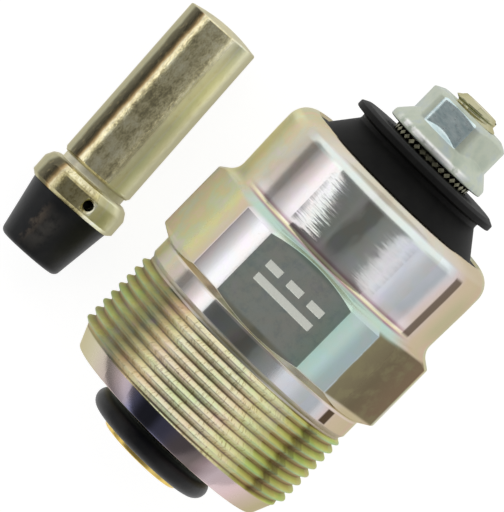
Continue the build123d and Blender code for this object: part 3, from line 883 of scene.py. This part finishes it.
def yellow_zinc():
    """Yellow chromate over turned steel, in olive, gold, pink and turquoise, with painted reflections,
    highlights and shade by the way each part faces.
    """
    s = Shader("zinc_yellow")
    place = s.position()
    x, y, z = s.axes(place)
    around, along, angle = wrapped(s, place)
    aside = s.absolute(angle)
    zone = {name: s.between(x, *levels) for name, levels in ZONES.items()}
    nose_cone = s.step(x, -8.1, -8.3)
    # The hexagon's face at 60 degrees, painted near black as a dark reflection
    painted_dark_face = s.between(angle, 38.0, 38.6, 81.4, 82.0)
    flank = s.step(aside, 46.0, 60.0)
    mark = etched_mark(s, x, y, z)

    cloud = s.noise(s.vector(around, s.times(along, 0.6), 0.0), 0.22, 3.0, 0.55)
    tint = s.mix(zone["hexagon"], turned_tint_and_reflection(s, angle, cloud), face_tint_and_reflection(s, x, y, z, angle, painted_dark_face))
    tint = s.mix(s.step(x, 0.05, -0.1), tint, thread_tint_and_painted_light(s, x, angle, around, along))
    tint = s.mix(s.times(zone["groove"], 0.8), tint, (0.52, 0.45, 0.36))
    tint = s.mix(s.times(zone["collar_end"], 0.7), tint, (0.74, 0.64, 0.60))
    tint = s.mix(nose_cone, tint, cone_tint_and_reflection(s, angle, cloud))
    # Painted dark reflection on the collar where it faces up
    collar_dark_reflection = s.times(zone["collar_dark_reflection"], s.between(angle, -22.5, -21.5, -2.0, 16.0))
    tint = s.mix(s.times(collar_dark_reflection, 0.7), tint, (0.16, 0.15, 0.17))
    # Painted highlight line and painted dark lines at the can's root, only on the side that faces up
    tint = s.mix(s.times(zone["upper_cone"], s.step(aside, 62.0, 40.0)), tint, ring_tint_and_highlight(s, x))
    tint = s.mix(s.times(zone["lower_cone"], 0.6), tint, (0.50, 0.44, 0.26))
    # Painted highlight: paler where the can's shoulder faces up
    shoulder = s.times(zone["shoulder"], s.step(aside, 52.0, 38.0))
    tint = s.mix(s.times(shoulder, 0.8), tint, (0.84, 0.92, 0.90))
    lip = s.step(x, 18.5, 18.9)
    tint = s.mix(s.times(lip, 0.8), tint, (0.64, 0.56, 0.45))
    # Painted reflection of a dark seam: a dark line from 52 to 57 degrees along the can, the collar and
    # faintly the thread
    seam_reflection = s.plus(s.times(zone["seam_reflection_can"], 0.85), zone["seam_reflection_collar"])
    seam_reflection = s.plus(seam_reflection, s.times(zone["seam_reflection_thread"], 0.40))
    tint = s.mix(s.times(s.between(angle, 51.4, 52.8, 56.8, 58.0), seam_reflection), tint, (0.08, 0.052, 0.034))
    # Blooms of colour everywhere but on the painted dark face and the nose cone
    bloom_area = s.times(s.minus(1.0, painted_dark_face), s.minus(1.0, nose_cone))
    bloom = s.plus(0.2, s.times(s.times(flank, s.step(x, 0.0, 0.5)), 0.3))
    tint = s.mix(s.times(bloom_area, bloom), tint, bloom_tint(s, place))
    can_side = s.times(zone["can_side"], s.step(aside, 60.0, 72.0))
    side_tint = s.ramp(s.share(angle, -60.0, 60.0), (0.3, 0.94, 0.88, 0.50), (0.7, 0.46, 0.46, 0.30))
    tint = s.mix(s.times(can_side, 0.6), tint, side_tint)
    stud = s.step(x, 24.0, 24.5)
    tint = s.mix(s.times(stud, 0.85), tint, (0.47, 0.46, 0.28))
    speck = s.step(s.noise(place, 1.3, 4.0, 0.6), 0.70, 0.78)
    tint = s.mix(s.times(speck, 0.35), tint, (0.30, 0.27, 0.20))
    tint = s.mix(mark, tint, (0.86, 0.88, 0.80))

    # Brushed lines throw the studio's bright edges across the can's dark belt, further at the belt's left
    lines = s.noise(s.vector(along, s.times(around, 0.035), 0.0), 8.0, 4.0, 0.75)
    off_middle = s.minus(angle, 1.0)
    brushed = s.times(s.between(s.absolute(off_middle), 6.0, 10.0, 25.0, 25.4), zone["brushed_can"])
    tilt = s.times(s.share(lines, 0.28, 0.80), s.times(brushed, s.math("SIGN", off_middle)))
    left = s.times(s.step(angle, 0.0, -2.0), s.minus(0.26, s.times(s.share(x, 12.0, 18.0), 0.30)))
    tilt = s.times(tilt, s.plus(0.18, left))
    comb = s.noise(s.vector(s.times(along, 0.5), around, 9.0), 5.0, 2.0, 0.6)
    comb = s.times(s.minus(comb, 0.5), s.times(zone["thread"], 0.7))
    normal = s.turn_normal(place, s.plus(tilt, comb), s.times(zone["thread"], 0.7))
    grooves = s.noise(s.vector(along, s.times(around, 0.02), 5.0), 9.0, 4.0, 0.6)
    scratches = s.noise(s.vector(s.times(x, 0.12), y, z), 7.0, 4.0, 0.65)
    grain = s.noise(place, 6.0, 4.0, 0.6)
    cut = s.plus(s.times(zone["thread"], 0.22), s.times(zone["groove"], 0.2))
    cut = s.plus(cut, s.times(flank, 0.24))
    rough = s.plus(s.plus(0.10, s.plus(s.times(zone["hexagon"], -0.04), cut)), s.times(grain, 0.12))
    return s.set(
        Base_Color=tint,
        Metallic=s.minus(1.0, mark),
        Specular_Tint=(0.82, 0.76, 0.60),
        Roughness=s.plus(rough, s.times(mark, 0.4)),
        Normal=s.bump((grooves, 0.0025), (scratches, 0.0015), (grain, 0.0012), (mark, -0.02), normal=normal),
    )


def clear_zinc():
    """Pale zinc with a green cast and a soft mottle, with a painted blue reflection on the nut's flat that
    looks up and a painted highlight on the flange's rim.
    """
    s = Shader("zinc_clear")
    place = s.position()
    x = s.axes(place)[0]
    angle = wrapped(s, place)[2]
    cloud = s.noise(place, 0.55, 4.0, 0.6)
    tint = s.ramp(cloud, (0.3, 0.44, 0.50, 0.42), (0.5, 0.54, 0.58, 0.48), (0.7, 0.48, 0.54, 0.54))
    # Painted blue reflection on the nut's flat that looks up
    face = s.times(s.box(angle, -13.0, 26.5, 2.5), s.box(x, 27.2, 1.4, 0.15))
    face = s.step(s.wander(face, cloud, 0.5), 0.30, 0.62)
    stroke = s.noise(s.vector(x, s.times(s.axes(place)[1], 0.3), 0.0), 2.6, 4.0, 0.6)
    blue_reflection = s.ramp(stroke, (0.34, 0.58, 0.74, 0.76), (0.66, 0.88, 1.0, 1.0))
    tint = s.mix(face, tint, blue_reflection)
    worn = s.noise(place, 2.2, 5.0, 0.7)
    # Painted highlight along the flange's rim where it faces up
    rim = s.between(x, 24.2, 24.4, 24.7, 24.95)
    rim = s.times(rim, s.step(s.absolute(s.plus(angle, 8.0)), 58.0, 34.0))
    rim_highlight = s.times(rim, s.step(cloud, 0.34, 0.52))
    tint = s.mix(s.times(rim_highlight, 0.9), tint, (0.98, 0.98, 0.96))
    return s.set(
        Base_Color=tint,
        Metallic=1.0,
        Roughness=s.minus(s.plus(0.30, s.times(worn, 0.30)), s.times(face, 0.14)),
        Normal=s.bump((s.times(worn, s.minus(1.0, face)), 0.008)),
    )


def plain_metal(name, dark, light, roughness):
    s = Shader(name)
    place = s.position()
    cloud = s.noise(place, 1.2, 4.0, 0.6)
    grain = s.noise(place, 12.0, 3.0, 0.6)
    return s.set(
        Base_Color=s.ramp(cloud, (0.3, *dark), (0.7, *light)),
        Metallic=1.0,
        Roughness=s.plus(roughness, s.times(grain, 0.12)),
        Normal=s.bump((grain, 0.002)),
    )


def plunger_position(s):
    """Place in the plunger's own frame, in millimetres from its rubber tip along its axis."""
    nod, tip_place = plunger_lie()
    own = s.add("Mapping", {"Vector": s.position()}, vector_type="TEXTURE")
    own.inputs["Location"].default_value = tip_place
    own.inputs["Rotation"].default_value = (0.0, nod, PLUNGER_YAW)
    return own.outputs[0]


def nickel():
    """Warm nickel plate: brushed round the shank, with scuffs where it has run in its tube, and painted
    reflections and shade by the way it faces.
    """
    s = Shader("nickel")
    place = plunger_position(s)
    around, along, angle = wrapped(s, place, SHANK_RADIUS)
    cloud = s.noise(place, 0.5, 3.0, 0.5)
    # Painted reflections: a dark band from -52 to -34 degrees and a bright line at 40 degrees; the sides and
    # underside painted darker as shade
    tint = s.bands(
        s.wander(angle, cloud, 8.0),
        (-180, 0.42, 0.40, 0.28), (-90, 0.40, 0.38, 0.28), (-58, 0.38, 0.37, 0.26),
        (-52, 0.13, 0.12, 0.08), (-44, 0.10, 0.09, 0.06), (-38, 0.12, 0.105, 0.065),
        (-34, 0.22, 0.15, 0.07), (-30.5, 0.62, 0.46, 0.24), (-28, 0.98, 0.90, 0.66),
        (-22, 0.98, 0.95, 0.76), (10, 0.98, 0.95, 0.76), (22, 1.00, 0.97, 0.76),
        (37, 0.94, 0.92, 0.70), (40, 1.00, 1.00, 0.90), (43, 0.92, 0.94, 0.72),
        (56, 0.90, 0.89, 0.66), (68, 0.54, 0.52, 0.37), (90, 0.44, 0.42, 0.30),
        (180, 0.42, 0.40, 0.28),
    )
    scuff = s.noise(s.vector(along, s.times(around, 1.6), 2.0), 1.5, 5.0, 0.7)
    rings = s.noise(s.vector(along, s.times(around, 0.12), 0.0), 4.0, 4.0, 0.7)
    run = s.noise(s.vector(s.times(along, 0.08), around, 7.0), 5.0, 3.0, 0.6)
    patch = s.noise(s.vector(s.times(along, 0.6), around, 4.0), 0.9, 6.0, 0.78)
    weave = s.noise(s.vector(s.times(along, 0.5), around, 6.0), 5.5, 3.0, 0.7)
    worn = s.ramp(
        s.plus(s.times(patch, 0.7), s.times(weave, 0.3)),
        (0.38, 0.38, 0.35, 0.26), (0.46, 0.66, 0.61, 0.44), (0.52, 0.90, 0.85, 0.66),
        (0.60, 1.0, 0.98, 0.86),
    )
    rubbed = s.step(s.absolute(s.plus(angle, 2.0)), 32.0, 20.0)
    tint = s.mix(rubbed, tint, worn, "MULTIPLY")
    on_cup = s.times(rubbed, s.step(along, 8.1, 7.9))
    tint = s.mix(on_cup, tint, (0.54, 0.52, 0.44), "MULTIPLY")
    gold = s.step(scuff, 0.52, 0.72)
    tint = s.mix(s.times(gold, 0.3), tint, (0.66, 0.56, 0.30))
    neck = s.box(along, CUP_END + NECK_LENGTH / 2, NECK_LENGTH / 2 + 0.1, 0.1)
    tint = s.mix(s.times(neck, 0.8), tint, (0.74, 0.71, 0.56))
    on_end = s.step(along, SHANK_END - 0.1, SHANK_END + 0.05)
    tint = s.mix(s.times(on_end, 0.9), tint, (0.66, 0.63, 0.48))
    rough = s.plus(s.times(scuff, 0.16), s.times(neck, 0.28))
    rough = s.plus(rough, s.times(on_end, 0.2))
    return s.set(
        Base_Color=tint,
        Metallic=1.0,
        Specular_Tint=(0.82, 0.78, 0.62),
        Roughness=s.plus(rough, s.plus(0.10, s.times(s.step(angle, 22.0, 32.0), 0.20))),
        Normal=s.bump((scuff, 0.018), (rings, 0.006), (run, 0.003)),
    )


def rubber():
    """Black rubber with a faint bloom."""
    s = Shader("rubber")
    place = s.position()
    cloud = s.noise(place, 0.7, 5.0, 0.65)
    grain = s.noise(place, 6.0, 4.0, 0.6)
    return s.set(
        Base_Color=s.ramp(cloud, (0.3, 0.006, 0.007, 0.009), (0.7, 0.013, 0.012, 0.012)),
        Roughness=s.plus(0.34, s.times(grain, 0.12)),
        Specular_IOR_Level=0.28,
        Normal=s.bump((cloud, 0.03), (grain, 0.006)),
    )


def tip_rubber():
    """Rubber of the plunger's tip, scuffed brown along one side where it meets its seat."""
    s = Shader("tip_rubber")
    place = plunger_position(s)
    _, along, angle = wrapped(s, place)
    cloud = s.noise(place, 0.8, 5.0, 0.65)
    grain = s.noise(place, 6.0, 4.0, 0.6)
    wander = s.wander(angle, cloud, 34.0)
    bend = s.plus(wander, s.times(along, -1.5))
    length = s.box(along, 2.6, 1.7, 1.1)
    streak = s.times(s.box(bend, -19.0, 5.0, 5.0), length)
    haze = s.times(s.box(bend, -4.0, 14.0, 9.0), length)
    tint = s.ramp(cloud, (0.3, 0.006, 0.007, 0.009), (0.7, 0.012, 0.012, 0.012))
    tint = s.mix(s.times(haze, s.step(cloud, 0.30, 0.62)), tint, (0.060, 0.056, 0.051))
    tint = s.mix(s.times(streak, s.step(cloud, 0.34, 0.58)), tint, (0.105, 0.082, 0.062))
    return s.set(
        Base_Color=tint,
        Roughness=s.plus(0.36, s.times(grain, 0.12)),
        Specular_IOR_Level=0.28,
        Normal=s.bump((cloud, 0.03), (grain, 0.006)),
    )


def dull(name, dark, light, roughness, spread=0.15, shine=0.5, cloudy=0.8, grainy=8.0, depth=0.01):
    """Matt moulding, tape or fibre, with a cloud and a grain whose scales are given."""
    s = Shader(name)
    place = s.position()
    grain = s.noise(place, grainy, 4.0, 0.6)
    return s.set(
        Base_Color=s.ramp(s.noise(place, cloudy, 4.0, 0.6), (0.3, *dark), (0.7, *light)),
        Roughness=s.plus(roughness, s.times(grain, spread)),
        Specular_IOR_Level=shine,
        Normal=s.bump((grain, depth)),
    )


def washer_steel():
    """Dark olive-plated spring steel with a darker mottle."""
    s = Shader("washer_steel")
    place = s.position()
    cloud = s.noise(place, 1.8, 4.0, 0.6)
    return s.set(
        Base_Color=s.ramp(cloud, (0.3, 0.15, 0.15, 0.09), (0.65, 0.42, 0.41, 0.29)),
        Metallic=1.0,
        Roughness=s.plus(0.30, s.times(cloud, 0.2)),
        Normal=s.bump((cloud, 0.02)),
    )


def make_materials():
    return {
        "zinc_yellow": yellow_zinc(),
        "zinc_clear": clear_zinc(),
        "steel": plain_metal("steel", (0.36, 0.36, 0.37), (0.48, 0.48, 0.49), 0.3),
        "brass": plain_metal("brass", (0.74, 0.52, 0.12), (0.86, 0.64, 0.20), 0.18),
        "copper": plain_metal("copper", (0.55, 0.24, 0.12), (0.72, 0.36, 0.20), 0.3),
        "nickel": nickel(),
        "rubber": rubber(),
        "tip_rubber": tip_rubber(),
        "moulding": dull("moulding", (0.006,) * 3, (0.012, 0.012, 0.011), 0.52, 0.16, 0.12, 0.5, 9.0, 0.008),
        "natural_plastic": dull("natural_plastic", (0.70, 0.68, 0.58), (0.80, 0.78, 0.70), 0.45),
        "tape": dull("tape", (0.66, 0.52, 0.10), (0.78, 0.64, 0.20), 0.35),
        "fibre": dull("fibre", (0.32, 0.16, 0.09), (0.46, 0.25, 0.15), 0.6, grainy=20.0, depth=0.02),
        "washer_steel": washer_steel(),
    }


def dress(materials, pieces):
    """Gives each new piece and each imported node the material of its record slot."""
    slots = {part["node"]: part["material_slot"] for part in frame["record"]["subparts"]}
    slots["valve_tip"] = "tip_rubber"
    slots["tooth_washer"] = "washer_steel"
    solids = [(solid, slots[node]) for node, solid in frame["nodes"].items()]
    for piece, slot in (*solids, *pieces):
        piece.data.materials.clear()
        piece.data.materials.append(materials[slot])


# Camera, as worked out from the photograph: where it aims, how far it is, and how it leans and rolls
AIM = Vector((6.23, 5.28, 0.0)) * MM
CAMERA_DISTANCE = 0.5
CAMERA_LEAN = radians(4.9)
CAMERA_SIDE = radians(2.8)
CAMERA_ROLL = radians(44.5)
FOCAL_LENGTH = 395.9


def add_camera():
    away = Vector((sin(CAMERA_LEAN), -sin(CAMERA_SIDE), cos(CAMERA_LEAN) * cos(CAMERA_SIDE))).normalized()
    forward = Vector((1, 0, 0))
    forward = (forward - away * forward.dot(away)).normalized()
    left = away.cross(forward)
    up = forward * cos(CAMERA_ROLL) + left * sin(CAMERA_ROLL)
    right = up.cross(away)
    data = bpy.data.cameras.new("camera")
    data.lens = FOCAL_LENGTH
    data.sensor_width = 36.0
    data.clip_start = 0.01
    data.clip_end = 20.0
    camera = bpy.data.objects.new("camera", data)
    turn = Matrix((right, up, away)).transposed().to_4x4()
    camera.matrix_world = Matrix.Translation(AIM + away * CAMERA_DISTANCE) @ turn
    bpy.context.scene.collection.objects.link(camera)
    bpy.context.scene.camera = camera


# Brightness of the floor as it lights the object, and of its shade and its glow as it is seen
FLOOR_BOUNCE = 0.80
FLOOR_SHADE = 0.30
FLOOR_GLOW = 0.88
FLOOR_GAP = 0.02


def add_floor():
    """White floor that keeps the object's shadow; it lights the object as a pale floor does."""
    bpy.ops.mesh.primitive_plane_add(size=6.0, location=(0, 0, -(HEXAGON_APOTHEM + FLOOR_GAP) * MM))
    floor = bpy.context.object
    floor.name = "floor"
    material = bpy.data.materials.new("floor")
    material.use_nodes = True
    s = Nodes(material.node_tree)
    s.tree.nodes.clear()
    plain = s.add("BsdfDiffuse", {"Color": (FLOOR_BOUNCE,) * 3}).outputs[0]
    shade = s.add("BsdfDiffuse", {"Color": (FLOOR_SHADE,) * 3}).outputs[0]
    glow = s.add("Emission", {"Strength": FLOOR_GLOW}).outputs[0]
    seen = s.add("AddShader", {0: shade, 1: glow}).outputs[0]
    rays = s.add("LightPath").outputs
    looked_at = s.math("MAXIMUM", rays["Is Camera Ray"], rays["Is Glossy Ray"])
    s.add("OutputMaterial", {"Surface": s.add("MixShader", {0: looked_at, 1: plain, 2: seen}).outputs[0]})
    floor.data.materials.append(material)


# Brightness of the studio by angle round the X axis, in degrees from straight up towards -Y
STUDIO = (
    (-180, 0.85), (-120, 0.85), (-97, 0.75), (-94, 0.38), (-88, 0.30), (-80, 0.34), (-75, 0.52), (-70, 0.66),
    (-64, 0.85), (-59, 1.20), (-50, 1.30), (-48.5, 1.20), (-47.5, 0.20), (-36, 0.18), (-14, 0.24),
    (-11, 0.20), (5, 0.20), (9, 0.26), (35, 0.28), (38, 0.75), (54, 0.95), (64, 0.68), (90, 0.72),
    (97, 0.85), (180, 0.85),
)


# Light walls at the studio's ends: side of the X axis, start of fading in, full, brightness
WALLS = ((1.0, 0.30, 0.42, 1.0), (1.0, 0.80, 0.92, 0.75), (-1.0, 0.84, 0.92, 0.9))


def add_world():
    """Pale for the camera; for light and reflections a studio with soft lights and dark gaps."""
    world = bpy.data.worlds.new("studio")
    bpy.context.scene.world = world
    world.use_nodes = True
    s = Nodes(world.node_tree)
    s.tree.nodes.clear()
    x, y, z = s.axes(s.add("TexCoord").outputs["Generated"])
    turn = s.math("MULTIPLY_ADD", s.math("ARCTAN2", s.times(y, -1.0), z), 0.5 / pi, 0.5)
    grey = s.ramp(turn, *(((degrees + 180) / 360, value, value, value) for degrees, value in STUDIO))
    for side, start, full, value in WALLS:
        grey = s.mix(s.step(s.times(x, side), start, full), grey, (value,) * 3)
    room = s.add("Background", {"Color": grey}).outputs[0]
    backdrop = s.add("Background").outputs[0]
    seen = s.add("LightPath").outputs["Is Camera Ray"]
    s.add("OutputWorld", {"Surface": s.add("MixShader", {0: seen, 1: room, 2: backdrop}).outputs[0]})


housing = make_housing()
tube, ring, bush = make_nose()
insulator = make_insulator()
stud = make_stud()
nut = make_nut()
plunger, tip = make_plunger()
dress(
    make_materials(),
    (
        (housing, "zinc_yellow"), (tube, "brass"), (ring, "rubber"), (bush, "zinc_clear"),
        (insulator, "moulding"), (stud, "zinc_yellow"), (nut, "zinc_clear"),
        (plunger, "nickel"), (tip, "tip_rubber"),
    ),
)
add_camera()
add_floor()
add_world()
bpy.context.scene.view_settings.view_transform = "Standard"
